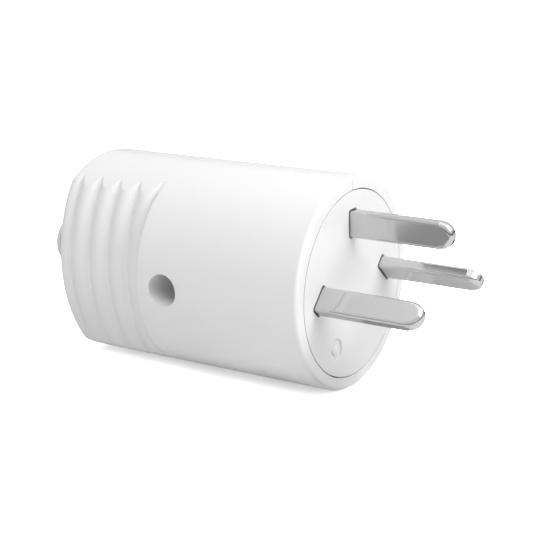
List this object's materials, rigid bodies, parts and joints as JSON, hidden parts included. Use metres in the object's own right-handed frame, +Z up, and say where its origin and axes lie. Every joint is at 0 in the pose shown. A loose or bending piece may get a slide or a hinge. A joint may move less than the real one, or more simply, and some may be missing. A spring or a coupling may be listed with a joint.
{
  "type": "mains plug",
  "caption": "Round rewirable mains plug with flat blades, a split ribbed casing, screw terminals, a cord clamp and a cable sleeve.",
  "frame": {"origin": "centre of the socket face, the flat front of the pin carrier, on the plug's axis", "axes": "+X out of the socket face along the blades, +Z up through the earth blade, +Y away from the removable cover"},
  "size_m": [0.0716, 0.0326, 0.0326],
  "materials": {
    "casing": "white moulded thermoplastic, satin gloss",
    "carrier": "white moulded thermoplastic, finely sparked",
    "blade": "nickel plated, lightly drawn along the blade",
    "plate": "zinc plated",
    "screw": "zinc plated steel",
    "insert": "turned brass",
    "clamp": "moulded, fine matt texture",
    "sleeve": "soft moulded, fine matt texture"
  },
  "bodies": {
    "base": {"base_shell": "casing", "pin_carrier": "carrier", "line_blade": "blade", "neutral_blade": "blade", "earth_blade": "blade", "assembly_nut": "insert", "clamp_thread_inserts": "insert", "cable_sleeve": "sleeve"},
    "cover": {"cover_shell": "casing"},
    "assembly_washer": {"assembly_washer": "screw"},
    "assembly_screw": {"assembly_screw": "screw"},
    "line_plate": {"line_pressure_plate": "plate"},
    "line_screw": {"line_terminal_screw": "screw"},
    "neutral_plate": {"neutral_pressure_plate": "plate"},
    "neutral_screw": {"neutral_terminal_screw": "screw"},
    "earth_plate": {"earth_pressure_plate": "plate"},
    "earth_screw": {"earth_terminal_screw": "screw"},
    "clamp_bar": {"cord_clamp_bar": "clamp"},
    "clamp_screw_upper": {"cord_clamp_screw_upper": "screw"},
    "clamp_screw_lower": {"cord_clamp_screw_lower": "screw"}
  },
  "joints": [
    {"name": "cover_slide", "type": "slide", "parent": "base", "child": "cover", "axis": [0, -1, 0], "range_m": [0, 0.03]},
    {"name": "assembly_washer_slide", "type": "slide", "parent": "cover", "child": "assembly_washer", "axis": [0, -1, 0], "range_m": [0, 0.004]},
    {"name": "assembly_screw_turn", "type": "hinge", "parent": "assembly_washer", "child": "assembly_screw", "pos_m": [-0.02365, 0, 0], "axis": [0, -1, 0], "range_deg": [0, 2880]},
    {"name": "line_plate_slide", "type": "slide", "parent": "base", "child": "line_plate", "axis": [0, 1, 0], "range_m": [0, 0.0015]},
    {"name": "line_screw_turn", "type": "hinge", "parent": "line_plate", "child": "line_screw", "pos_m": [-0.0082, -0.013, 0], "axis": [0, 1, 0], "range_deg": [0, 1080]},
    {"name": "neutral_plate_slide", "type": "slide", "parent": "base", "child": "neutral_plate", "axis": [0, 1, 0], "range_m": [0, 0.0015]},
    {"name": "neutral_screw_turn", "type": "hinge", "parent": "neutral_plate", "child": "neutral_screw", "pos_m": [-0.015, 0.006, 0], "axis": [0, 1, 0], "range_deg": [0, 1080]},
    {"name": "earth_plate_slide", "type": "slide", "parent": "base", "child": "earth_plate", "axis": [0, 1, 0], "range_m": [0, 0.0015]},
    {"name": "earth_screw_turn", "type": "hinge", "parent": "earth_plate", "child": "earth_screw", "pos_m": [-0.0082, -0.0035, 0.0093], "axis": [0, 1, 0], "range_deg": [0, 1080]},
    {"name": "clamp_bar_slide", "type": "slide", "parent": "base", "child": "clamp_bar", "axis": [0, 1, 0], "range_m": [0, 0.002]},
    {"name": "clamp_screw_upper_turn", "type": "hinge", "parent": "clamp_bar", "child": "clamp_screw_upper", "pos_m": [-0.03508, -0.008, 0.0075], "axis": [0, 1, 0], "range_deg": [0, 1440]},
    {"name": "clamp_screw_lower_turn", "type": "hinge", "parent": "clamp_bar", "child": "clamp_screw_lower", "pos_m": [-0.03508, -0.008, -0.0075], "axis": [0, 1, 0], "range_deg": [0, 1440]}
  ],
  "couplings": [
    {"joint": "assembly_screw_turn", "follows": "assembly_washer_slide", "rad_per_m": 12566},
    {"joint": "line_screw_turn", "follows": "line_plate_slide", "rad_per_m": 12566},
    {"joint": "neutral_screw_turn", "follows": "neutral_plate_slide", "rad_per_m": 12566},
    {"joint": "earth_screw_turn", "follows": "earth_plate_slide", "rad_per_m": 12566},
    {"joint": "clamp_screw_upper_turn", "follows": "clamp_bar_slide", "rad_per_m": 12566},
    {"joint": "clamp_screw_lower_turn", "follows": "clamp_bar_slide", "rad_per_m": 12566}
  ]
}
